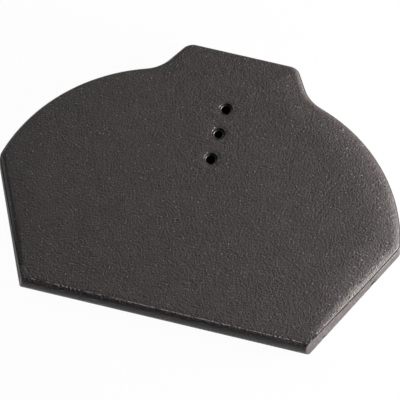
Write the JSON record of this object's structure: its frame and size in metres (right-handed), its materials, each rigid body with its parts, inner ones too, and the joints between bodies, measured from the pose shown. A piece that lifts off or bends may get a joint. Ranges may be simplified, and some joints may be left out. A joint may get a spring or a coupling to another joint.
{
  "type": "ridge end tile",
  "caption": "Flat fired clay tile with leaning flanks, rounded shoulders and a necked crest, nailed through holes on its centre line to close the end of a roof ridge.",
  "frame": {"origin": "middle of the tile's box in plan, on the flat back", "axes": "+X across the tile to the right as seen from the face, +Y from the straight foot edge to the crest, +Z out of the face"},
  "size_m": [0.275, 0.2088, 0.012],
  "materials": {
    "engobed_clay": "matt anthracite slip coat over fired clay, with a fine grain"
  },
  "bodies": {
    "root": {"ridge_end_tile": "engobed_clay"}
  },
  "joints": []
}
